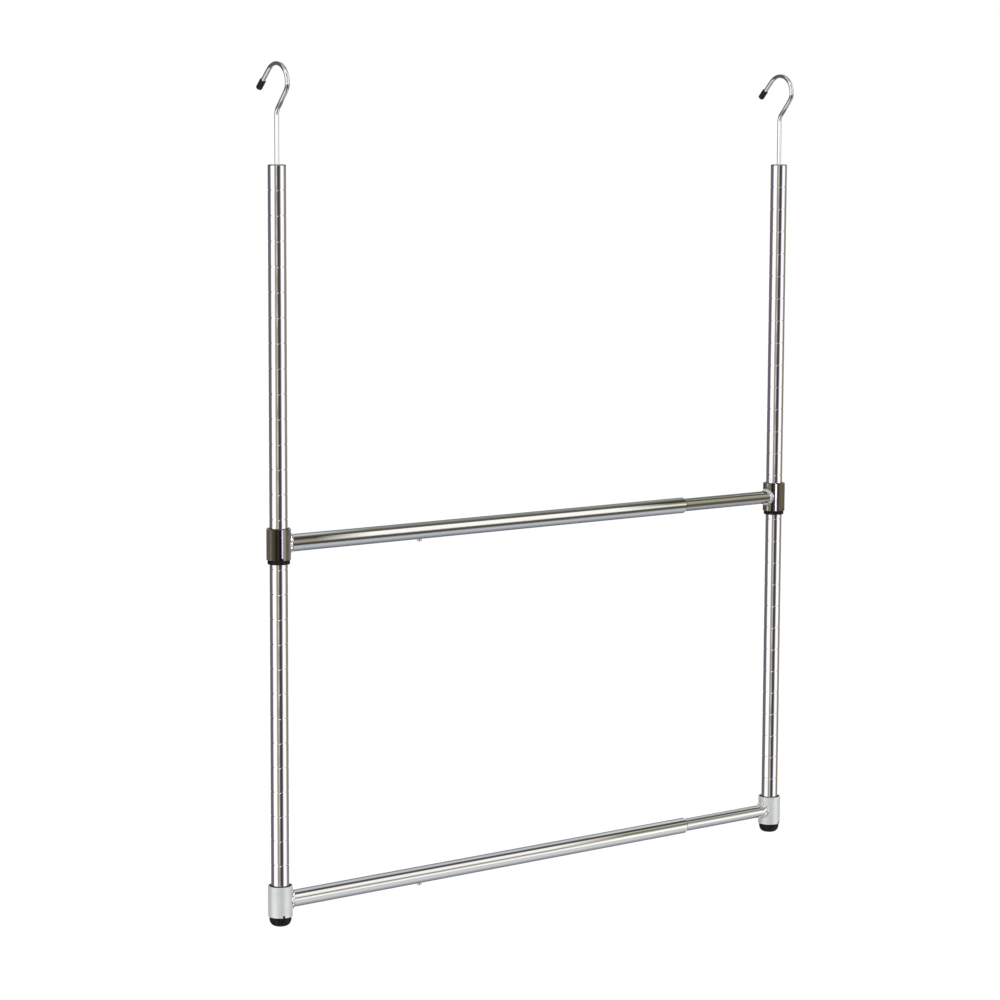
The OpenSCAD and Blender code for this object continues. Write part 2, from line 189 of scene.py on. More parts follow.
# Where the grain's value gives the dark tint and the light one, of metal and of moulded skin
METAL_DARK = 0.3
METAL_LIGHT = 0.7
SKIN_DARK = 0.48
SKIN_LIGHT = 0.66
SKIN_TINT_SCALE = 0.7
SKIN_SPREAD = 0.1
# Numbers of the colour sockets of a mix node: first and second input, and output
MIX_FIRST = 6
MIX_SECOND = 7
MIX_RESULT = 2

# The photograph's camera, fitted to the uprights, rails and collars
CAMERA_PLACE = (-1.6593, -2.4383, -0.0812)
CAMERA_AZIMUTH = -38.577
CAMERA_TILT = 6.808
CAMERA_ROLL = 0.242
CAMERA_LENS = 105.8
CAMERA_SENSOR = 36
CAMERA_NEAR = 0.05
CAMERA_FAR = 200


def arc(centre, radii, start, end, steps):
    """Points of an elliptic arc from one angle to another, in degrees."""
    angles = [math.radians(start + (end - start) * i / steps) for i in range(steps + 1)]
    return [(centre[0] + radii[0] * math.cos(a), centre[1] + radii[1] * math.sin(a)) for a in angles]


def loft(name, rows, ring, closed):
    """Mesh through rows of points. ring joins the last row to the first, closed does so in each row."""
    shape = bmesh.new()
    grid = [[shape.verts.new(point) for point in row] for row in rows]
    across = len(rows[0])
    for i in range(len(rows) if ring else len(rows) - 1):
        here = grid[i]
        there = grid[(i + 1) % len(rows)]
        for k in range(across if closed else across - 1):
            after = (k + 1) % across
            shape.faces.new((here[k], here[after], there[after], there[k]))
    if not ring:
        shape.faces.new(grid[0])
        shape.faces.new(grid[-1])
    bmesh.ops.remove_doubles(shape, verts=shape.verts, dist=MERGE)
    bmesh.ops.recalc_face_normals(shape, faces=shape.faces)
    mesh = bpy.data.meshes.new(name)
    shape.to_mesh(mesh)
    shape.free()
    piece = bpy.data.objects.new(name, mesh)
    bpy.context.scene.collection.objects.link(piece)
    return piece


def revolve(name, profile, place=Matrix.Identity(4), hollow=True, steps=TURN_STEPS):
    """Turned piece from (radius, height) points. A hollow one has a closed outline off the axis."""
    rows = []
    for i in range(steps):
        angle = 2 * math.pi * i / steps
        rows.append([place @ Vector((r * math.cos(angle), r * math.sin(angle), h)) for r, h in profile])
    return loft(name, rows, True, hollow)


def block(name, low, high):
    """Box between two corners, for cutting and joining."""
    (x0, y0, z0), (x1, y1, z1) = low, high
    rows = [[(x0, y0, z), (x1, y0, z), (x1, y1, z), (x0, y1, z)] for z in (z0, z1)]
    return loft(name, rows, False, True)


def combine(piece, tools, operation):
    """Cuts the tools from a piece or joins them to it, and keeps only the resulting mesh."""
    for tool in tools:
        step = piece.modifiers.new(tool.name, "BOOLEAN")
        step.operation = operation
        step.solver = "EXACT"
        step.object = tool
    graph = bpy.context.evaluated_depsgraph_get()
    mesh = bpy.data.meshes.new_from_object(piece.evaluated_get(graph))
    piece.modifiers.clear()
    piece.data = mesh
    for tool in tools:
        bpy.data.objects.remove(tool)


def shade(piece, sharp_angle=32):
    """Smooth shading with sharp edges where faces meet at more than an angle."""
    piece.data.polygons.foreach_set("use_smooth", [True] * len(piece.data.polygons))
    piece.data.set_sharp_from_angle(angle=math.radians(sharp_angle))


def round_normals(piece, point, axis):
    """Gives the faces of a tube's wall the normals of a true cylinder, so that cuts don't show."""
    mesh = piece.data
    normals = [Vector(corner.vector) for corner in mesh.corner_normals]
    for face in mesh.polygons:
        for k in face.loop_indices:
            out = mesh.vertices[mesh.loops[k].vertex_index].co - point
            out -= axis * out.dot(axis)
            out.normalize()
            side = out.dot(face.normal)
            if abs(side) > WALL_FACING:
                normals[k] = out if side > 0 else -out
    mesh.normals_split_custom_set(normals)


def dress(piece, body, material, slot, *nodes):
    """Material, place in the motion and the CAD nodes that the piece stands for."""
    piece.data.materials.clear()
    piece.data.materials.append(material)
    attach(piece, body)
    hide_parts(*nodes)


def feed(tree, socket, value):
    """Gives an input a value, or links it to another node's output."""
    if isinstance(value, bpy.types.NodeSocket):
        tree.links.new(value, socket)
    else:
        socket.default_value = value


def add(tree, kind, **inputs):
    """New shader node. An input goes by its name, with _ for a space, or by _ and its number."""
    made = tree.nodes.new(kind)
    for name, value in inputs.items():
        socket = made.inputs[int(name[1:])] if name[0] == "_" else made.inputs[name.replace("_", " ")]
        feed(tree, socket, value)
    return made


def maths(tree, operation, *values):
    """Output of a Math node."""
    made = tree.nodes.new("ShaderNodeMath")
    made.operation = operation
    for socket, value in zip(made.inputs, values):
        feed(tree, socket, value)
    return made.outputs[0]


def ramp(tree, factor, stops):
    """Colour ramp with (position, colour) stops."""
    made = add(tree, "ShaderNodeValToRGB", Fac=factor)
    band = made.color_ramp
    while len(band.elements) < len(stops):
        band.elements.new(0.5)
    for element, (position, colour) in zip(band.elements, stops):
        element.position = position
        element.color = (*colour, 1)
    return made.outputs["Color"]


def mix_colours(tree, share, first, second):
    """Colour that goes from the first to the second as the share goes from 0 to 1."""
    made = add(tree, "ShaderNodeMix")
    made.data_type = "RGBA"
    feed(tree, made.inputs["Factor"], share)
    feed(tree, made.inputs[MIX_FIRST], first)
    feed(tree, made.inputs[MIX_SECOND], second)
    return made.outputs[MIX_RESULT]


def new_material(name):
    """Empty node material with its tree and its output node."""
    material = bpy.data.materials.new(name)
    material.use_nodes = True
    tree = material.node_tree
    tree.nodes.clear()
    return material, tree, tree.nodes.new("ShaderNodeOutputMaterial")


def grain(tree, scale, stretch, detail):
    """Noise on the object's own coordinates, in features per metre, stretched along an axis."""
    place = add(tree, "ShaderNodeTexCoord").outputs["Object"]
    stretched = add(tree, "ShaderNodeMapping", Vector=place, Scale=stretch)
    return add(
        tree, "ShaderNodeTexNoise", Vector=stretched.outputs[0], Scale=scale, Detail=detail
    ).outputs["Fac"]


def gloss(tree, lines, roughness, spread):
    """Roughness that follows a grain, up and down by the spread."""
    return maths(tree, "MULTIPLY_ADD", lines, 2 * spread, roughness - spread)


def surface(tree, out, height, depth, **looks):
    """Surface with the looks given and a bump that follows a height."""
    bump = add(tree, "ShaderNodeBump", Height=height, Strength=1.0, Distance=depth)
    shader = add(tree, "ShaderNodeBsdfPrincipled", Normal=bump.outputs[0], **looks)
    tree.links.new(shader.outputs[0], out.inputs["Surface"])


def metal(name, light, dark, roughness, spread, waves, wave_height, stretch, metallic=1.0):
    """Plated metal: a tint that drifts a little, polishing lines in the gloss and a faint waviness."""
    material, tree, out = new_material(name)
    tint = ramp(tree, grain(tree, waves / 3, ALL_WAYS, 2), [(METAL_DARK, dark), (METAL_LIGHT, light)])
    lines = grain(tree, LINE_SCALE, stretch, 3)
    surface(
        tree, out, grain(tree, waves, ALL_WAYS, 1), wave_height,
        Base_Color=tint, Metallic=metallic, Roughness=gloss(tree, lines, roughness, spread),
    )
    return material


def moulded(name, light, dark, roughness, grain_scale, grain_height, specular):
    """Black moulded or dipped plastic with a fine textured skin."""
    material, tree, out = new_material(name)
    skin = grain(tree, grain_scale, ALL_WAYS, 3)
    # The skin's tone varies at random, and its lightest specks are painted glints in place of highlights
    # on its texture
    tone_and_glint_specks = grain(tree, SKIN_TINT_SCALE * grain_scale, ALL_WAYS, 3)
    tint = ramp(tree, tone_and_glint_specks, [(SKIN_DARK, dark), (SKIN_LIGHT, light)])
    surface(
        tree, out, skin, grain_height,
        Base_Color=tint, Roughness=gloss(tree, skin, roughness, SKIN_SPREAD), Specular_IOR_Level=specular,
    )
    return material


def painted_reflection_metal(name, low, across, tints, roughness, drift, spread=0.04, ends=()):
    """Plated metal with painted reflections: its tint goes through stops, from a low point along a
    direction with a length.

    Each of the ends gives other stops, and the x where they begin to come in and where they are in full.
    """
    material, tree, out = new_material(name)
    place = add(tree, "ShaderNodeTexCoord").outputs["Object"]
    start = add(tree, "ShaderNodeMapping", Vector=place, Location=(-low).to_tuple()).outputs[0]
    along = tree.nodes.new("ShaderNodeVectorMath")
    along.operation = "DOT_PRODUCT"
    tree.links.new(start, along.inputs[0])
    along.inputs[1].default_value = across / across.length_squared
    cloud = grain(tree, CLOUD_SCALE, CLOUD_STRETCH, 3)
    back = maths(tree, "SUBTRACT", along.outputs["Value"], drift / 2)
    share = maths(tree, "MULTIPLY_ADD", cloud, drift, back)
    tint = ramp(tree, share, tints)
    x = add(tree, "ShaderNodeSeparateXYZ", Vector=place).outputs["X"]
    for stops, begin, full in ends:
        part = add(tree, "ShaderNodeMapRange", Value=x, From_Min=begin, From_Max=full)
        tint = mix_colours(tree, part.outputs["Result"], tint, ramp(tree, share, stops))
    lines = grain(tree, LINE_SCALE, ALONG_Z, 3)
    surface(
        tree, out, grain(tree, WAVE_SCALE, ALL_WAYS, 1), WAVE_HEIGHT,
        Base_Color=tint, Metallic=1.0, Roughness=gloss(tree, lines, roughness, spread),
    )
    return material


# Tints of the painted reflections: bands painted into the plating of the rails and of the mid collars
PEARL = (0.90, 0.90, 0.88)
SILVER = (0.80, 0.81, 0.82)
NICKEL = (0.70, 0.71, 0.72)
MAUVE = (0.62, 0.61, 0.64)
SLATE = (0.48, 0.48, 0.47)
DRAB = (0.40, 0.40, 0.35)
KHAKI = (0.31, 0.30, 0.24)
TAUPE = (0.30, 0.265, 0.235)
SMOKE = (0.20, 0.19, 0.17)
MOSS = (0.150, 0.150, 0.090)
SOOT = (0.070, 0.065, 0.052)
STRAW = (0.84, 0.83, 0.62)
OCHRE = (0.57, 0.55, 0.34)
IVORY = (0.66, 0.65, 0.50)
TAN = (0.25, 0.22, 0.155)
HAZEL = (0.165, 0.160, 0.115)
UMBER = (0.090, 0.082, 0.055)
PINE = (0.048, 0.046, 0.028)
COAL = (0.038, 0.034, 0.027)
DUSK = (0.118, 0.100, 0.104)
PLUM = (0.074, 0.056, 0.150)
RUST = (0.125, 0.074, 0.058)
PEWTER = (0.62, 0.60, 0.62)

# Painted reflection bands of the mid collars from left to right, along the direction given and across the
# whole collar
MID_COLLAR_PAINTED_REFLECTIONS = {
    "left": [
        (0.0, IVORY), (0.155, IVORY), (0.185, TAN), (0.235, UMBER), (0.31, PINE), (0.49, PINE),
        (0.53, DUSK), (0.565, PLUM), (0.60, PLUM), (0.64, DUSK), (0.70, DUSK), (0.73, TAN), (0.78, TAN),
        (0.815, UMBER), (0.86, DUSK), (0.92, PEWTER),
    ],
    "right": [
        (0.0, IVORY), (0.004, IVORY), (0.018, HAZEL), (0.055, HAZEL), (0.09, COAL), (0.12, COAL),
        (0.155, DUSK), (0.22, DUSK), (0.26, COAL), (0.31, COAL), (0.35, RUST), (0.40, RUST),
        (0.46, UMBER), (0.51, UMBER), (0.55, TAN), (0.64, DRAB), (0.76, DRAB), (0.86, TAN),
    ],
}
MID_COLLAR_ACROSS = {"left": Vector((0.8, -0.6, 0)), "right": Vector((1, 0, 0))}
MID_COLLAR_DRIFT = {"left": 0.04, "right": 0.06}

# Painted reflection bands of the rails from the underside to the top, along a direction that leans back,
# in degrees
RAIL_LEAN = {"mid": 10, "bottom": 17}
OUTER_PAINTED_REFLECTIONS = {
    "mid": [
        (0.0, NICKEL), (0.12, NICKEL), (0.18, SILVER), (0.27, NICKEL), (0.32, SMOKE), (0.355, SOOT),
        (0.43, SOOT), (0.465, MAUVE), (0.50, PEARL), (0.76, PEARL), (0.80, KHAKI), (0.855, KHAKI),
        (0.91, SLATE), (0.955, PEARL),
    ],
    "bottom": [
        (0.0, SILVER), (0.12, PEARL), (0.37, PEARL), (0.42, SLATE), (0.455, SMOKE), (0.48, KHAKI),
        (0.53, SILVER), (0.58, PEARL), (0.76, MAUVE), (0.80, SILVER), (0.90, NICKEL), (0.95, PEARL),
    ],
}
# The outer tubes' painted reflection bands by the collar and by the mouth, with the x where they begin
# and are in full
OUTER_ENDS = {
    "mid": (
        ([
            (0.0, NICKEL), (0.18, SILVER), (0.28, NICKEL), (0.35, COAL), (0.42, SOOT), (0.48, TAUPE),
            (0.56, TAUPE), (0.64, SOOT), (0.69, SOOT), (0.725, OCHRE), (0.77, SILVER), (0.81, SLATE),
            (0.86, PEARL), (0.93, MAUVE),
        ], 0.11, 0.04),
        ([
            (0.0, NICKEL), (0.18, SILVER), (0.26, NICKEL), (0.35, SOOT), (0.43, SOOT), (0.47, KHAKI),
            (0.52, PEARL), (0.57, SLATE), (0.64, MOSS), (0.71, MOSS), (0.75, OCHRE), (0.79, DRAB),
            (0.82, MOSS), (0.86, KHAKI), (0.92, NICKEL),
        ], 0.44, 0.52),
    ),
    "bottom": (
        ([
            (0.0, SILVER), (0.12, PEARL), (0.42, PEARL), (0.48, KHAKI), (0.53, MOSS), (0.57, MOSS),
            (0.62, SLATE), (0.66, KHAKI), (0.70, SLATE), (0.76, NICKEL), (0.80, PEARL), (0.90, SILVER),
            (0.95, PEARL),
        ], 0.36, 0.46),
    ),
}
INNER_PAINTED_REFLECTIONS = {
    "mid": [
        (0.0, MAUVE), (0.10, SLATE), (0.22, MAUVE), (0.31, SMOKE), (0.36, SOOT), (0.44, SOOT),
        (0.54, KHAKI), (0.69, KHAKI), (0.74, STRAW), (0.80, STRAW), (0.83, SMOKE), (0.88, SMOKE),
        (0.93, SLATE), (0.97, SILVER),
    ],
    "bottom": [
        (0.0, NICKEL), (0.22, NICKEL), (0.37, PEARL), (0.44, SILVER), (0.50, DRAB), (0.57, MOSS),
        (0.62, KHAKI), (0.68, SILVER), (0.75, SILVER), (0.79, SLATE), (0.86, SILVER), (0.95, PEARL),
    ],
}

# Painted reflections of the hooks: tints from the shank to the free end, darker at the bends, along a
# leaning direction
HOOK_TINTS_LOW = Vector((0, 0, -60 * MM))
HOOK_TINTS_ACROSS = Vector((0, 29.1 * MM, 48.5 * MM))
HOOK_WHITE = (0.94, 0.97, 0.98)
HOOK_GREY = (0.66, 0.70, 0.70)
HOOK_BEND = (0.30, 0.33, 0.32)
HOOK_TOP = (0.44, 0.48, 0.47)
HOOK_CROWN = (0.62, 0.68, 0.65)
HOOK_PAINTED_REFLECTIONS = [
    (0.0, HOOK_WHITE), (0.215, HOOK_WHITE), (0.24, HOOK_BEND), (0.275, HOOK_BEND), (0.30, HOOK_GREY),
    (0.36, HOOK_GREY), (0.39, HOOK_BEND), (0.42, HOOK_BEND), (0.46, HOOK_WHITE), (0.66, HOOK_WHITE),
    (0.73, HOOK_TOP), (0.78, HOOK_TOP), (0.86, HOOK_CROWN), (1.0, HOOK_CROWN),
]

UPRIGHT_CHROME = metal(
    "upright_chrome", (0.93, 0.93, 0.94), (0.90, 0.90, 0.91),
    roughness=0.035, spread=0.015, waves=130, wave_height=0.004 * MM, stretch=ALONG_Z,
)
BOTTOM_COLLAR_CHROME = metal(
    "bottom_collar_chrome", (0.76, 0.78, 0.78), (0.70, 0.72, 0.72),
    roughness=0.44, spread=0.06, waves=160, wave_height=0.010 * MM, stretch=ALONG_Z, metallic=0.45,
)
CAP_CHROME = metal(
    "cap_chrome", (0.42, 0.41, 0.44), (0.36, 0.35, 0.38),
    roughness=0.12, spread=0.04, waves=200, wave_height=0.004 * MM, stretch=ALL_WAYS,
)
WELD_CHROME = metal(
    "weld_chrome", (0.93, 0.93, 0.92), (0.76, 0.76, 0.74),
    roughness=0.12, spread=0.05, waves=480, wave_height=0.30 * MM, stretch=ALL_WAYS,
)
WIRE_CHROME = painted_reflection_metal(
    "wire_chrome", HOOK_TINTS_LOW, HOOK_TINTS_ACROSS, HOOK_PAINTED_REFLECTIONS, roughness=0.12, drift=0.02
)
STEEL = metal(
    "button_steel", (0.84, 0.85, 0.86), (0.76, 0.77, 0.78),
    roughness=0.16, spread=0.05, waves=500, wave_height=0.006 * MM, stretch=ALL_WAYS,
)
SPRING_STEEL = metal(
    "spring_steel", (0.50, 0.51, 0.53), (0.40, 0.41, 0.43),
    roughness=0.32, spread=0.08, waves=500, wave_height=0.006 * MM, stretch=ALONG_X,
)
# Near-black metal: painted shade for the inside of the collars
BORE_PAINTED_SHADE = metal(
    "bore_painted_shade", (0.050, 0.048, 0.046), (0.020, 0.020, 0.020),
    roughness=0.40, spread=0.08, waves=500, wave_height=0.006 * MM, stretch=ALL_WAYS,
)
BLACK_PLASTIC = moulded(
    "black_plastic", (0.034, 0.032, 0.034), (0.002, 0.002, 0.003),
    roughness=0.48, grain_scale=1100, grain_height=0.10 * MM, specular=0.12,
)
BLACK_VINYL = moulded(
    "black_vinyl", (0.012, 0.012, 0.012), (0.005, 0.005, 0.005),
    roughness=0.40, grain_scale=700, grain_height=0.03 * MM, specular=0.3,
)

# Places that the pieces share, read from the frame
LEFT_X = 0.0
RIGHT_X = (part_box("right_upright")[0].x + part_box("right_upright")[1].x) / 2
COLLAR_R = -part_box("mid_left_collar")[0].x
COLLAR_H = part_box("mid_left_collar")[1].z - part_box("mid_left_collar")[0].z
UPRIGHT_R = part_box("left_upright")[1].y
TOP_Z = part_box("left_top_cap")[1].z
SIDES = (("left", LEFT_X, 1), ("right", RIGHT_X, -1))
TO_X = Matrix.Rotation(math.pi / 2, 4, "Y")


def rail_tube(node):
    """Radius of a rail's tube and the height of its axis."""
    low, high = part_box(node)
    return (high.z - low.z) / 2, (low.z + high.z) / 2


def button_x(level):
    """Place of a rail's button along the rail."""
    low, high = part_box(level + "_button")
    return (low.x + high.x) / 2


def make_upright(side, x):
    """Tube with rolled grooves, each a smooth dip all round."""
    low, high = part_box(side + "_upright")
    bore = UPRIGHT_R - UPRIGHT_WALL
    outline = [(bore, low.z), (UPRIGHT_R, low.z)]
    for k in range(GROOVE_COUNT, 0, -1):
        middle = TOP_Z - k * GROOVE_PITCH
        for i in range(GROOVE_STEPS + 1):
            t = 2 * i / GROOVE_STEPS - 1
            dip = GROOVE_DEPTH * (0.5 + 0.5 * math.cos(math.pi * t))
            outline.append((UPRIGHT_R - dip, middle + GROOVE_HALF * t))
    outline += [(UPRIGHT_R, high.z), (bore, high.z)]
    piece = revolve(side + "_upright_tube", outline, Matrix.Translation((x, 0, 0)))
    shade(piece, sharp_angle=50)
    round_normals(piece, Vector((x, 0, 0)), Vector((0, 0, 1)))
    dress(piece, side + "_frame", UPRIGHT_CHROME, "chrome_tube", side + "_upright")


def make_top_cap(side, x):
    """Plug with a rounded rim on top of the upright."""
    plug_r = UPRIGHT_R - UPRIGHT_WALL - PRESS_GAP
    inner_r = plug_r - CAP_WALL
    skirt_z = -CAP_RIM_T - CAP_SKIRT_H
    outline = [(CAP_BORE_R, -CAP_TOP_T), (CAP_BORE_R, 0)]
    outline += arc((UPRIGHT_R - CAP_EDGE_R, -CAP_EDGE_R), (CAP_EDGE_R, CAP_EDGE_R), 90, 0, EDGE_STEPS)
    outline += [(UPRIGHT_R, -CAP_RIM_T), (plug_r, -CAP_RIM_T), (plug_r, skirt_z)]
    outline += [(inner_r, skirt_z), (inner_r, -CAP_TOP_T)]
    piece = revolve(side + "_cap", outline, Matrix.Translation((x, 0, TOP_Z)))
    shade(piece)
    dress(piece, side + "_frame", CAP_CHROME, "chrome_cap", side + "_top_cap")


def bend(centre, radius, start, end):
    """Steps of a bend of the wire: place in the hook's plane and heading, in degrees."""
    count = max(2, round(abs(end - start) / WIRE_BEND_STEP))
    turn = 90 if end > start else -90
    places = arc(centre, (radius, radius), start, end, count)
    return [(u, v, start + (end - start) * i / count + turn) for i, (u, v) in enumerate(places)]


def hook_path():
    """The wire's middle line from its free end to the shank's foot."""
    crown_r = HOOK_BORE_R + WIRE_R
    leg = math.radians(LEG_LEAN)
    neck = math.radians(NECK_LEAN)
    leg_top = (crown_r * math.cos(leg), -HOOK_BORE_R + crown_r * math.sin(leg))
    leg_end = (leg_top[0] + LEG_LEN * math.sin(leg), leg_top[1] - LEG_LEN * math.cos(leg))
    inset = NECK_BEND_R * (1 - math.cos(neck))
    neck_len = (crown_r - 2 * inset) / math.sin(neck)
    upper = (NECK_BEND_R - crown_r, -HOOK_BORE_R - CROWN_DROP)
    fall = CROWN_DROP + 2 * NECK_BEND_R * math.sin(neck) + neck_len * math.cos(neck)
    lower = (-NECK_BEND_R, -HOOK_BORE_R - fall)
    path = [(*leg_end, LEG_LEAN + 90)]
    path += bend((0, -HOOK_BORE_R), crown_r, LEG_LEAN, 180)
    path += bend(upper, NECK_BEND_R, 180, 180 + NECK_LEAN)
    path += bend(lower, NECK_BEND_R, NECK_LEAN, 0)
    return path


def wire_row(x, u, v, heading, radius):
    """Ring of points round the wire."""
    angle = math.radians(heading)
    across = Vector((0, -math.sin(angle), math.cos(angle)))
    middle = Vector((x, u, v))
    row = []
    for k in range(WIRE_STEPS):
        turn = 2 * math.pi * k / WIRE_STEPS
        row.append(middle + radius * (Vector((math.cos(turn), 0, 0)) + math.sin(turn) * across))
    return row


def make_hook(side, x):
    """Bent wire with a peened head under its retainer. Gives the wire, for its lamp."""
    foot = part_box(side + "_hook")[0].z
    head_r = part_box(side + "_hook")[1].x - x
    rows = [wire_row(x, u, v, heading, WIRE_R) for u, v, heading in hook_path()]
    for z, radius in (
        (foot + PEEN_H - PRESS_GAP, WIRE_R), (foot + PEEN_H - PRESS_GAP, head_r),
        (foot + PEEN_H / 2, head_r), (foot, (WIRE_R + head_r) / 2),
    ):
        rows.append(wire_row(x, 0, z, -90, radius))
    piece = loft(side + "_hook_wire", rows, False, True)
    shade(piece)
    dress(piece, side + "_hook", WIRE_CHROME, "chrome_wire", side + "_hook")
    return piece


def make_hook_tip(side, x):
    """Dipped vinyl cap on the wire's free end, thickest at its nose."""
    u, v, heading = hook_path()[0]
    outer = WIRE_R + PRESS_GAP + TIP_WALL
    bore_end = TIP_LEN - TIP_END_T
    outline = [(0, bore_end), (WIRE_R + PRESS_GAP, bore_end), (WIRE_R + PRESS_GAP, 0)]
    outline += arc((outer - TIP_RIM_R, TIP_RIM_R), (TIP_RIM_R, TIP_RIM_R), -90, 0, EDGE_STEPS)
    nose = (TIP_NOSE_R, TIP_END_T)
    outline += arc((outer - TIP_NOSE_R, TIP_LEN - TIP_END_T), nose, 0, 90, DOME_STEPS)
    outline.append((0, TIP_LEN))
    down = math.radians(heading - 180)
    along = Vector((0, math.cos(down), math.sin(down)))
    turn = Vector((0, 0, 1)).rotation_difference(along).to_matrix().to_4x4()
    start = Vector((x, u, v)) - along * (bore_end - PRESS_GAP)
    place = Matrix.Translation(start) @ turn
    piece = revolve(side + "_vinyl_tip", outline, place, False, SMALL_TURN_STEPS)
    shade(piece, sharp_angle=40)
    dress(piece, side + "_hook", BLACK_VINYL, "black_vinyl", side + "_hook_tip")


def weld_row(angle, x, sign, rail_r, rail_z, seed):
    """Section of the weld bead at an angle round the rail: toes sunk in the rail and the collar."""
    cy = math.cos(angle)
    cz = math.sin(angle)
    lump = noise.noise(Vector((WELD_LUMPS * cy, WELD_LUMPS * cz, seed)))
    ripple = math.sin(WELD_RIPPLES * angle + WELD_RIPPLE_SHIFT * lump)
    swell = 1 + WELD_RIPPLE * ripple + WELD_LUMP * lump
    seam_turn = math.asin(rail_r * cy / COLLAR_R)

    def on_rail(reach, sink):
        depth = rail_r - sink
        return Vector((COLLAR_R * math.cos(seam_turn) + reach, depth * cy, depth * cz))

    def on_collar(reach, sink):
        turn = seam_turn + reach * cy / COLLAR_R
        depth = COLLAR_R - sink
        return Vector((depth * math.cos(turn), depth * math.sin(turn), (rail_r + reach) * cz))

    toe = on_rail(WELD_RUN * swell, 0)
    heel = on_collar(WELD_LEG * swell, 0)
    seam = on_rail(0, 0)
    crown = seam + ((toe + heel) / 2 - seam) * (2 * swell - 1)
    row = [on_rail(WELD_RUN * swell, WELD_SINK)]
    out = (crown - seam).normalized()
    for i in range(SECTION_STEPS + 1):
        t = i / SECTION_STEPS
        speck = noise.noise(Vector((WELD_SPECKS * cy, WELD_SPECKS * cz, seed + WELD_SPECKS_ACROSS * t)))
        spatter = WELD_SPATTER * speck * math.sin(math.pi * t)
        row.append(toe * (1 - t) ** 2 + crown * 2 * t * (1 - t) + heel * t * t + spatter * out)
    row += [on_collar(WELD_LEG * swell, WELD_SINK), on_rail(-WELD_SINK, WELD_SINK)]
    return [Vector((x + sign * point.x, point.y, rail_z + point.z)) for point in row]


def notch_turn(sign):
    """Turn of the notches and keys, away from the rail."""
    return Matrix.Rotation(math.radians(-sign * NOTCH_TURN), 4, "Z")


def make_collar(level, side, x, sign, material):
    """Collar with a notch front and back, and the weld bead that joins the rail to it."""
    node = level + "_" + side + "_collar"
    place = Matrix.Translation((x, 0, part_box(node)[0].z))
    rail_r, rail_z = rail_tube(level + ("_outer_tube" if side == "left" else "_inner_tube"))
    low_bore = COLLAR_R - COLLAR_WALL
    edge = (COLLAR_EDGE, COLLAR_EDGE)
    outline = [(low_bore, 0)]
    outline += arc((COLLAR_R - COLLAR_EDGE, COLLAR_EDGE), edge, -90, 0, EDGE_STEPS)
    outline += [(COLLAR_R, NOTCH_SHOULDER_H)]
    outline += arc((COLLAR_R - COLLAR_EDGE, COLLAR_H - COLLAR_EDGE), edge, 0, 90, EDGE_STEPS)
    outline += [(COLLAR_R - COLLAR_RIM_T, COLLAR_H), (low_bore - WEDGE_TAPER, COLLAR_H - COLLAR_SINK_H)]
    outline += [(low_bore - WEDGE_TAPER * NOTCH_SHOULDER_H / COLLAR_H, NOTCH_SHOULDER_H)]
    piece = revolve(node + "_shell", outline, place)
    half = NOTCH_W / 2
    cutter = block("notch", (-half, -2 * COLLAR_R, -NOTCH_H), (half, 2 * COLLAR_R, NOTCH_H))
    cutter.data.transform(place @ notch_turn(sign))
    round_corner = cutter.modifiers.new("corner", "BEVEL")
    round_corner.width = NOTCH_R
    round_corner.segments = NOTCH_STEPS
    combine(piece, [cutter], "DIFFERENCE")
    shade(piece)
    round_normals(piece, Vector((x, 0, 0)), Vector((0, 0, 1)))
    body = level + "_rail_" + side
    dress(piece, body, material, "chrome_collar", node)
    # Faces that look into the bore take the near-black metal: painted shade inside the collar
    piece.data.materials.append(BORE_PAINTED_SHADE)
    for face in piece.data.polygons:
        inward = Vector((x, 0, 0)) - face.center
        inward.z = 0
        if face.normal.dot(inward.normalized()) > BORE_FACING:
            face.material_index = 1
    seed = WELD_SEED * rail_z + x
    rows = [
        weld_row(2 * math.pi * i / WELD_STEPS, x, sign, rail_r, rail_z, seed) for i in range(WELD_STEPS)
    ]
    bead = loft(level + "_" + side + "_weld", rows, True, True)
    shade(bead, sharp_angle=70)
    dress(bead, body, WELD_CHROME, "chrome_collar")
    return piece, bead


def fit_to_collar(piece, end_x, collar_x, sign):
    """Cuts a tube's end to the round of its collar, just inside the collar's wall."""
    for vertex in piece.data.vertices:
        if abs(vertex.co.x - end_x) < END_REACH:
            reach = math.sqrt(COLLAR_R ** 2 - vertex.co.y ** 2) - SADDLE_SINK
            vertex.co.x = collar_x + sign * reach


def drill(piece, places, radius, low, high):
    """Drills upright holes through the tube's lower wall."""
    drills = []
    for i, x in enumerate(places):
        outline = [(0, low), (radius, low), (radius, high), (0, high)]
        drills.append(revolve("drill_%d" % i, outline, Matrix.Translation((x, 0, 0)), False, DRILL_STEPS))
    combine(piece, drills, "DIFFERENCE")


def rail_chrome(node, level, tints, ends=()):
    """Chrome with painted reflection bands for a rail's tube, from its underside to its top as the lean
    of its stops goes.
    """
    radius, middle = rail_tube(node)
    lean = math.radians(RAIL_LEAN[level])
    across = 2 * radius * Vector((0, math.sin(lean), math.cos(lean)))
    start = Vector((0, 0, middle)) - across / 2
    return painted_reflection_metal(
        node + "_chrome", start, across, tints[level], roughness=0.06, drift=0.02, spread=0.02, ends=ends
    )


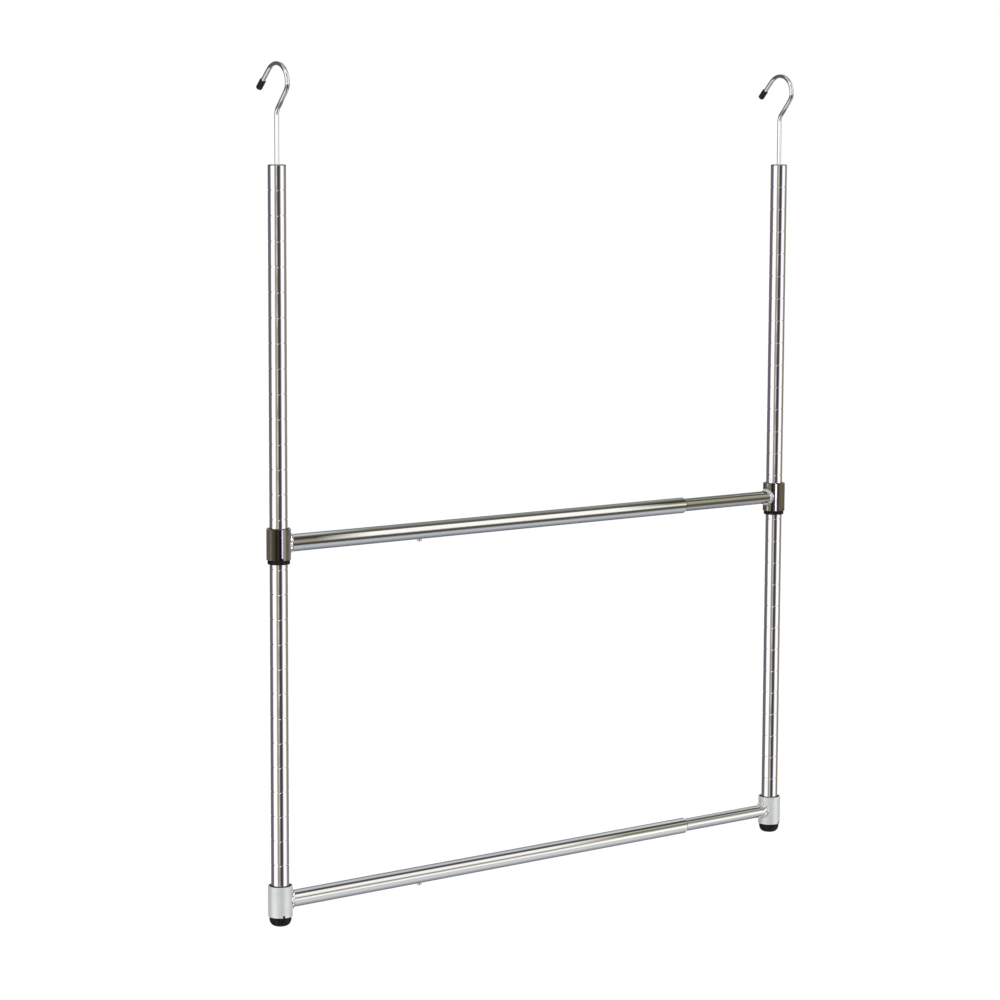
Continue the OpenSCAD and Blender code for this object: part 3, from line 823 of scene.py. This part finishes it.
def make_outer_tube(level):
    """Wide half of a rail: a row of button holes below and a mouth that is rolled in."""
    node = level + "_outer_tube"
    low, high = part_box(node)
    radius, middle = rail_tube(node)
    bore = radius - OUTER_WALL
    lip = rail_tube(level + "_inner_tube")[0] + MOUTH_GAP
    holes = [button_x(level) + (i - HOLES_BEFORE_BUTTON) * HOLE_PITCH for i in range(HOLE_COUNT)]
    start = COLLAR_R
    bands = [x + shift for x in holes for shift in (-HOLE_MARGIN, HOLE_MARGIN)]
    outline = [(bore, start), (radius, start)] + [(radius, x) for x in bands]
    roll = math.acos((lip - radius + MOUTH_ROLL_R) / MOUTH_ROLL_R)
    roll_centre = (radius - MOUTH_ROLL_R, high.x - MOUTH_ROLL_R * math.sin(roll))
    outline += arc(roll_centre, (MOUTH_ROLL_R, MOUTH_ROLL_R), 0, math.degrees(roll), 2 * EDGE_STEPS)
    outline += [(lip, high.x - OUTER_WALL), (bore, high.x - 2 * MOUTH_ROLL_R)]
    outline += [(bore, x) for x in reversed(bands)]
    axis = Vector((0, 0, middle))
    piece = revolve(node + "_shell", outline, Matrix.Translation(axis) @ TO_X)
    fit_to_collar(piece, start, LEFT_X, 1)
    drill(piece, holes, HOLE_R, low.z - HOLE_R, middle)
    shade(piece)
    round_normals(piece, axis, Vector((1, 0, 0)))
    chrome = rail_chrome(node, level, OUTER_PAINTED_REFLECTIONS, OUTER_ENDS[level])
    dress(piece, level + "_rail_left", chrome, "chrome_tube", node)


def make_inner_tube(level):
    """Slim half of a rail, with the one hole that its button stands in."""
    node = level + "_inner_tube"
    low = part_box(node)[0]
    radius, middle = rail_tube(node)
    bore = radius - INNER_WALL
    button = button_x(level)
    end = RIGHT_X - COLLAR_R
    bands = [button - HOLE_MARGIN, button + HOLE_MARGIN]
    outline = [(bore, low.x), (radius, low.x)] + [(radius, x) for x in bands]
    outline += [(radius, end), (bore, end)] + [(bore, x) for x in reversed(bands)]
    axis = Vector((0, 0, middle))
    piece = revolve(node + "_shell", outline, Matrix.Translation(axis) @ TO_X)
    fit_to_collar(piece, end, RIGHT_X, -1)
    drill(piece, [button], HOLE_R, low.z - HOLE_R, middle)
    shade(piece)
    round_normals(piece, axis, Vector((1, 0, 0)))
    dress(piece, level + "_rail_right", rail_chrome(node, level, INNER_PAINTED_REFLECTIONS), "chrome_tube", node)


def make_button(level):
    """Turned snap button: domed stem, flange inside the tube and the rivet that holds the leaf."""
    node = level + "_button"
    low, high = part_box(node)
    flange_r = (high.x - low.x) / 2
    height = high.z - low.z
    rivet_low = height - RIVET_HEAD_T
    flange_high = rivet_low - RIVET_GRIP
    outline = [(0, 0)]
    dome = (BUTTON_DOME_R, BUTTON_DOME_R)
    outline += arc((BUTTON_R - BUTTON_DOME_R, BUTTON_DOME_R), dome, -90, 0, DOME_STEPS)
    outline += [(BUTTON_R, flange_high - FLANGE_T), (flange_r, flange_high - FLANGE_T)]
    outline += [(flange_r, flange_high), (RIVET_R, flange_high), (RIVET_R, rivet_low)]
    outline += [(RIVET_HEAD_R, rivet_low), (RIVET_HEAD_R, height), (0, height)]
    place = Matrix.Translation((button_x(level), 0, low.z))
    piece = revolve(node + "_turned", outline, place, False, SMALL_TURN_STEPS)
    shade(piece)
    dress(piece, node, STEEL, "button_steel", node)


def make_spring(level):
    """Leaf bent in a V inside the slim tube. Its lower arm holds the button."""
    node = level + "_button_spring"
    low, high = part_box(node)
    middle = low.z + LEAF_T / 2
    bend_x = high.x - LEAF_BEND_R - LEAF_T / 2
    path = [(low.x + LEAF_BACK, middle)]
    path += arc((bend_x, middle + LEAF_BEND_R), (LEAF_BEND_R, LEAF_BEND_R), -90, 90, ROUND_STEPS)
    path.append((low.x, high.z - LEAF_T / 2))
    half_w = high.y
    half_t = LEAF_T / 2
    section = []
    for side_y, side_n in ((-1, 1), (1, 1), (1, -1), (-1, -1)):
        corner = [
            (side_y * (half_w - LEAF_EDGE), side_n * half_t),
            (side_y * half_w, side_n * (half_t - LEAF_EDGE)),
        ]
        section += corner if side_y == side_n else corner[::-1]
    rows = []
    for i, (x, z) in enumerate(path):
        before = path[max(i - 1, 0)]
        after = path[min(i + 1, len(path) - 1)]
        run = Vector((after[0] - before[0], after[1] - before[1])).normalized()
        rows.append([Vector((x - run.y * n, y, z + run.x * n)) for y, n in section])
    piece = loft(node + "_leaf", rows, False, True)
    hole = [(0, -LEAF_T), (LEAF_HOLE_R, -LEAF_T), (LEAF_HOLE_R, 2 * LEAF_T), (0, 2 * LEAF_T)]
    place = Matrix.Translation((button_x(level), 0, low.z))
    combine(piece, [revolve("hole", hole, place, False, DRILL_STEPS)], "DIFFERENCE")
    shade(piece)
    dress(piece, level + "_rail_right", SPRING_STEEL, "spring_steel", node)
    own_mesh(piece)


def make_foot(side, x, sign):
    """Cup with a domed underside, a tapered slotted wall and keys for the collar's notches."""
    node = side + "_foot"
    low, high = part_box(node)
    place = Matrix.Translation((x, 0, low.z + FOOT_SHOW))
    outer = (high.x - low.x) / 2
    top_r = outer - WEDGE_TAPER * WEDGE_H / COLLAR_H
    outline = [(0, -FOOT_SHOW)]
    dome = (outer - FOOT_FLAT_R, FOOT_SHOW - FOOT_BAND)
    outline += arc((FOOT_FLAT_R, -FOOT_BAND), dome, -90, 0, ROUND_STEPS)
    outline += [(outer, 0), (top_r, WEDGE_H), (WEDGE_BORE_R, WEDGE_H)]
    outline += [(WEDGE_BORE_R, -FOOT_FLOOR_H), (0, -FOOT_FLOOR_H)]
    piece = revolve(node + "_cup", outline, place, False)
    reach = COLLAR_R - COLLAR_EDGE
    half = KEY_W / 2
    wall = (WEDGE_BORE_R + outer) / 2
    keys = [
        block("key_front", (-half, -reach, 0), (half, -wall, KEY_H)),
        block("key_back", (-half, wall, 0), (half, reach, KEY_H)),
    ]
    for key in keys:
        key.data.transform(place @ notch_turn(sign))
    combine(piece, keys, "UNION")
    slots = []
    slot_low = (0, -SLOT_W / 2, WEDGE_H - SLOT_H)
    slot_high = (2 * COLLAR_R, SLOT_W / 2, WEDGE_H + SLOT_W)
    for quarter in range(4):
        slot = block("slot_%d" % quarter, slot_low, slot_high)
        slot.data.transform(place @ Matrix.Rotation(math.radians(45 + 90 * quarter), 4, "Z"))
        slots.append(slot)
    combine(piece, slots, "DIFFERENCE")
    shade(piece, sharp_angle=28)
    dress(piece, side + "_frame", BLACK_PLASTIC, "black_plastic", node)


def finish_cad_nodes():
    """Materials for the nodes that keep their own shapes: the sleeves and the retainers."""
    for name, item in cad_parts.items():
        if "sleeve" in name:
            material = BLACK_PLASTIC
        elif "retainer" in name:
            material = SPRING_STEEL
        else:
            continue
        item.data.materials.clear()
        item.data.materials.append(material)


# Reflections of the studio. A band starts at an azimuth from the camera's side, in degrees
BEHIND = (0.15, 0.135, 0.155)
WHITE = (1.14, 1.14, 1.14)
LILAC = (0.48, 0.44, 0.54)
OLIVE_MID = (0.48, 0.47, 0.42)
OLIVE_DIM = (0.30, 0.29, 0.24)
STREAK_DIM = (0.26, 0.25, 0.20)
STREAK_LIGHT = (0.92, 0.91, 0.78)
OLIVE_DARK = (0.19, 0.185, 0.15)
OLIVE_BLACK = (0.060, 0.055, 0.042)
INK = (0.052, 0.044, 0.056)
VIOLET = (0.14, 0.12, 0.175)
OLIVE_PALE = (0.46, 0.45, 0.34)
OLIVE = (0.24, 0.23, 0.19)
DIM_BANDS = (
    (-180, WHITE), (-152, BEHIND), (-82, LILAC), (-76, WHITE), (-30, OLIVE_MID), (-22, OLIVE_DIM),
    (-8, STREAK_DIM), (4, OLIVE_DARK), (11, OLIVE_BLACK), (22, INK), (33, VIOLET), (43, LILAC),
    (50, WHITE), (90, OLIVE_PALE), (101, OLIVE), (152, WHITE),
)
# The middle band's streak comes and goes with the height
LIGHT_BANDS = tuple((start, STREAK_LIGHT if tint == STREAK_DIM else tint) for start, tint in DIM_BANDS)
STREAK_SCALE = 150
STREAK_FROM = 0.40
STREAK_FULL = 0.60
# Beyond the heights that show in the uprights, the violet is grey and a spot stands over the camera
TINTED_FROM = -0.33
TINTED_TO = 0.02
DARK_GREY = (0.060, 0.060, 0.064)
PLAIN_BANDS = tuple((start, DARK_GREY if tint in (INK, VIOLET) else tint) for start, tint in DIM_BANDS)
SPOT_HEIGHT = 0.30
SPOT_HALF = 0.20
SPOT_AZIMUTH = 6
SPOT_ROUND = 13
# Bands round the rails start at an angle about the X axis, from the front upwards
EDGE_BLUE = (0.18, 0.19, 0.22)
FLOOR_GREY = (0.30, 0.32, 0.35)
FLOOR_MID = (0.48, 0.50, 0.53)
FLOOR_LIGHT = (0.64, 0.66, 0.68)
FLOOR_PALE = (0.58, 0.58, 0.58)
CREAM = (1.08, 1.06, 1.02)
WALL_DARK = (0.11, 0.11, 0.105)
WALL_LIGHT = (0.66, 0.68, 0.70)
WALL_EDGE = (0.25, 0.27, 0.28)
ROUND_BANDS = (
    (-180, WHITE), (-166, BEHIND), (-150, EDGE_BLUE), (-108, FLOOR_GREY), (-84, FLOOR_MID),
    (-66, FLOOR_LIGHT), (-24, FLOOR_PALE), (0, CREAM), (54, WALL_DARK), (84, WALL_LIGHT),
    (122, WALL_EDGE), (150, BEHIND), (160, WHITE),
)
# How far a band fades to each side of its start, in degrees
BAND_SOFT = 1.5
ROUND_SOFT = 2
# Heights, and azimuths in degrees, between which the ceiling and the level bands show
CEILING = (1.00, 1.02, 1.02)
CEILING_FROM = 0.70
CEILING_ROUND_FROM = -88
LEVEL_FROM = -0.31
LEVEL_TO = 0.015
WIDE_FROM = 88
WIDE_BELOW = 0.2
WIDE_ABOVE = 0.4
FRONT_TO = 70
# Turn from the X axis to the camera's side, in degrees
CAMERA_SIDE = 128.6
# Strength of the light on matt surfaces
FILL = 0.85


def turn_share(tree, angle):
    """Angle of a full turn, from -180 to 180 degrees, as a share from 0 to 1."""
    return maths(tree, "MULTIPLY_ADD", angle, 0.5 / math.pi, 0.5)


def band_stops(bands, soft):
    """Ramp stops for bands that go all round, from -180 to 180 degrees, and change over a short way."""
    stops = [(0.0, bands[0][1])]
    for (_, before), (start, after) in zip(bands, bands[1:]):
        stops.append(((start - soft + 180) / 360, before))
        stops.append(((start + soft + 180) / 360, after))
    return stops


def make_world():
    """White to the camera, bright all round for matt surfaces, and the studio's bands for gloss."""
    world = bpy.data.worlds.new("studio")
    bpy.context.scene.world = world
    world.use_nodes = True
    tree = world.node_tree
    tree.nodes.clear()
    place = add(tree, "ShaderNodeTexCoord").outputs["Generated"]
    turned = add(tree, "ShaderNodeMapping", Vector=place, Rotation=(0, 0, math.radians(CAMERA_SIDE)))
    parts = add(tree, "ShaderNodeSeparateXYZ", Vector=turned.outputs[0])
    azimuth = maths(tree, "ARCTAN2", parts.outputs["Y"], parts.outputs["X"])
    straight = add(tree, "ShaderNodeSeparateXYZ", Vector=place)
    front = maths(tree, "MULTIPLY", straight.outputs["Y"], -1.0)
    about_x = maths(tree, "ARCTAN2", straight.outputs["Z"], front)
    round_share = turn_share(tree, azimuth)
    height = parts.outputs["Z"]
    dim = ramp(tree, round_share, band_stops(DIM_BANDS, BAND_SOFT))
    light = ramp(tree, round_share, band_stops(LIGHT_BANDS, BAND_SOFT))
    plain = ramp(tree, round_share, band_stops(PLAIN_BANDS, BAND_SOFT))
    about = ramp(tree, turn_share(tree, about_x), band_stops(ROUND_BANDS, ROUND_SOFT))
    column = add(tree, "ShaderNodeCombineXYZ", Z=height).outputs[0]
    shelves = add(tree, "ShaderNodeTexNoise", Vector=column, Scale=STREAK_SCALE, Detail=2)
    streak = add(
        tree, "ShaderNodeMapRange",
        Value=shelves.outputs["Fac"], From_Min=STREAK_FROM, From_Max=STREAK_FULL,
    ).outputs["Result"]
    spot_height = maths(tree, "COMPARE", height, SPOT_HEIGHT, SPOT_HALF)
    spot_round = maths(tree, "COMPARE", azimuth, math.radians(SPOT_AZIMUTH), math.radians(SPOT_ROUND))
    spot = mix_colours(tree, maths(tree, "MULTIPLY", spot_height, spot_round), plain, (*WHITE, 1))
    tinted_middle = (TINTED_FROM + TINTED_TO) / 2
    is_tinted = maths(tree, "COMPARE", height, tinted_middle, TINTED_TO - tinted_middle)
    level = mix_colours(tree, is_tinted, spot, mix_colours(tree, streak, dim, light))
    is_ceiling = maths(tree, "GREATER_THAN", height, CEILING_FROM)
    is_ahead = maths(tree, "GREATER_THAN", azimuth, math.radians(CEILING_ROUND_FROM))
    ahead = mix_colours(tree, maths(tree, "MULTIPLY", is_ceiling, is_ahead), level, (*CEILING, 1))
    beyond = maths(tree, "GREATER_THAN", azimuth, math.radians(WIDE_FROM))
    lowest = maths(tree, "MULTIPLY_ADD", beyond, -WIDE_BELOW, LEVEL_FROM)
    highest = maths(tree, "MULTIPLY_ADD", beyond, WIDE_ABOVE, LEVEL_TO)
    above = maths(tree, "GREATER_THAN", height, lowest)
    below = maths(tree, "LESS_THAN", height, highest)
    aside = mix_colours(tree, maths(tree, "MULTIPLY", above, below), about, level)
    is_front = maths(tree, "LESS_THAN", azimuth, math.radians(FRONT_TO))
    studio = mix_colours(tree, is_front, aside, ahead)
    rays = add(tree, "ShaderNodeLightPath")
    glossy = add(tree, "ShaderNodeBackground", Color=studio, Strength=1.0)
    matt = add(tree, "ShaderNodeBackground", Color=(1, 1, 1, 1), Strength=FILL)
    backdrop = add(tree, "ShaderNodeBackground", Color=(1, 1, 1, 1), Strength=1.0)
    shiny = add(
        tree, "ShaderNodeMixShader",
        Fac=rays.outputs["Is Glossy Ray"], _1=matt.outputs[0], _2=glossy.outputs[0],
    )
    seen = add(
        tree, "ShaderNodeMixShader",
        Fac=rays.outputs["Is Camera Ray"], _1=shiny.outputs[0], _2=backdrop.outputs[0],
    )
    out = tree.nodes.new("ShaderNodeOutputWorld")
    tree.links.new(seen.outputs[0], out.inputs["Surface"])


FLOOR_DROP = 0.30
FLOOR_SIZE = 60
FLOOR_GLOW = 0.85
FLOOR_STRENGTH = 1.06
FLOOR_TINT = (0.95, 0.95, 0.95, 1)


def make_floor():
    """Wide pale floor below the hanging rod. Metal doesn't reflect it, and shows the studio instead."""
    z = cad_low.z - FLOOR_DROP
    half = FLOOR_SIZE / 2
    mesh = bpy.data.meshes.new("floor")
    corners = [(-half, -half, z), (half, -half, z), (half, half, z), (-half, half, z)]
    mesh.from_pydata(corners, [], [(0, 1, 2, 3)])
    floor = bpy.data.objects.new("floor", mesh)
    bpy.context.scene.collection.objects.link(floor)
    material, tree, out = new_material("floor_white")
    lit = add(tree, "ShaderNodeBsdfDiffuse", Color=FLOOR_TINT)
    glow = add(tree, "ShaderNodeEmission", Color=(1, 1, 1, 1), Strength=FLOOR_STRENGTH)
    rays = add(tree, "ShaderNodeLightPath")
    share = maths(tree, "MULTIPLY", rays.outputs["Is Camera Ray"], FLOOR_GLOW)
    mixed = add(tree, "ShaderNodeMixShader", Fac=share, _1=lit.outputs[0], _2=glow.outputs[0])
    tree.links.new(mixed.outputs[0], out.inputs["Surface"])
    mesh.materials.append(material)
    floor.visible_glossy = False


def make_light(name, place, aim, size, power, shown_in=None):
    """Soft lamp. With pieces given it lights those alone and shows in their gloss.

    Any other lamp doesn't show in gloss, where the studio's bands stand for it.
    """
    data = bpy.data.lights.new(name, "AREA")
    data.shape = "RECTANGLE"
    data.size, data.size_y = size
    data.energy = power
    lamp = bpy.data.objects.new(name, data)
    lamp.location = place
    lamp.rotation_mode = "QUATERNION"
    lamp.rotation_quaternion = (Vector(aim) - Vector(place)).to_track_quat("-Z", "Y")
    lamp.visible_glossy = shown_in is not None
    if shown_in is not None:
        lamp.light_linking.receiver_collection = bpy.data.collections.new(name + "_shown_in")
        for piece in shown_in:
            lamp.light_linking.receiver_collection.objects.link(piece)
    bpy.context.scene.collection.objects.link(lamp)
    return lamp


# Lamps: place, aim, size and power
KEY_LAMP = ((-1.6, -1.8, 1.4), (0.3, 0, -0.4), (1.4, 1.4), 26)
SIDE_LAMP = ((2.4, -1.6, 0.6), (0.4, 0, -0.4), (1.2, 1.2), 12)
# Small lamp that makes the welds glint
GLINT_LAMP = ((2.2, -1.6, -0.1), (0.3, 0, -0.6), (0.5, 0.5), 10)
# Long low lamp that makes the hooks' shanks nearly all white
SHANK_LAMP = ((-0.80, -1.80, -0.08), (0.345, 0, -0.08), (3.0, 0.22), 1.8)
# Lamps that draw the white line down each dark collar. Each is aimed level at its collar
STRIP_PLACES = ((0.024, -1.500, -0.66), (0.219, -1.424, -0.66))
STRIP_SIZES = ((0.36, 1.1), (0.44, 1.1))
STRIP_POWERS = (11, 36)
STRIP_TINT = (0.75, 0.82, 1.0)


def middle_of(piece):
    """Middle of a piece's own box."""
    corners = [piece.matrix_world @ Vector(corner) for corner in piece.bound_box]
    return sum(corners, Vector()) / len(corners)


def make_camera():
    """Camera at the photograph's place, with its turn and roll."""
    azimuth = math.radians(CAMERA_AZIMUTH)
    tilt = math.radians(CAMERA_TILT)
    roll = math.radians(CAMERA_ROLL)
    ahead = math.cos(tilt)
    look = Vector((-math.sin(azimuth) * ahead, math.cos(azimuth) * ahead, -math.sin(tilt)))
    level = look.cross(Vector((0, 0, 1))).normalized()
    upright = level.cross(look)
    right = level * math.cos(roll) + upright * math.sin(roll)
    up = upright * math.cos(roll) - level * math.sin(roll)
    data = bpy.data.cameras.new("camera")
    data.lens = CAMERA_LENS
    data.sensor_width = CAMERA_SENSOR
    data.clip_start = CAMERA_NEAR
    data.clip_end = CAMERA_FAR
    camera = bpy.data.objects.new("camera", data)
    turn = Matrix((right, up, -look)).transposed().to_4x4()
    camera.matrix_world = Matrix.Translation(CAMERA_PLACE) @ turn
    bpy.context.scene.collection.objects.link(camera)
    bpy.context.scene.camera = camera


make_camera()
make_world()
make_floor()
make_light("key", *KEY_LAMP)
make_light("side", *SIDE_LAMP)

wires = []
dark_collars = []
welds = []
for side, x, sign in SIDES:
    make_upright(side, x)
    make_top_cap(side, x)
    wires.append(make_hook(side, x))
    make_hook_tip(side, x)
    make_foot(side, x, sign)
    # The mid collars' chrome carries their painted reflection bands
    across = 2 * COLLAR_R * MID_COLLAR_ACROSS[side]
    tinted = painted_reflection_metal(
        "mid_collar_chrome_" + side, Vector((x, 0, 0)) - across / 2, across, MID_COLLAR_PAINTED_REFLECTIONS[side],
        roughness=0.12, drift=MID_COLLAR_DRIFT[side],
    )
    collar, bead = make_collar("mid", side, x, sign, tinted)
    dark_collars.append(collar)
    welds.append(bead)
    welds.append(make_collar("bottom", side, x, sign, BOTTOM_COLLAR_CHROME)[1])
for level in ("mid", "bottom"):
    make_outer_tube(level)
    make_inner_tube(level)
    make_button(level)
    make_spring(level)
finish_cad_nodes()
for collar, place, size, power in zip(dark_collars, STRIP_PLACES, STRIP_SIZES, STRIP_POWERS):
    aim = (middle_of(collar).x, 0, place[2])
    strip = make_light("strip_" + collar.name, place, aim, size, power, [collar])
    strip.data.color = STRIP_TINT
make_light("glint", *GLINT_LAMP, welds)
make_light("shank", *SHANK_LAMP, wires)

bpy.context.scene.view_settings.view_transform = "Standard"
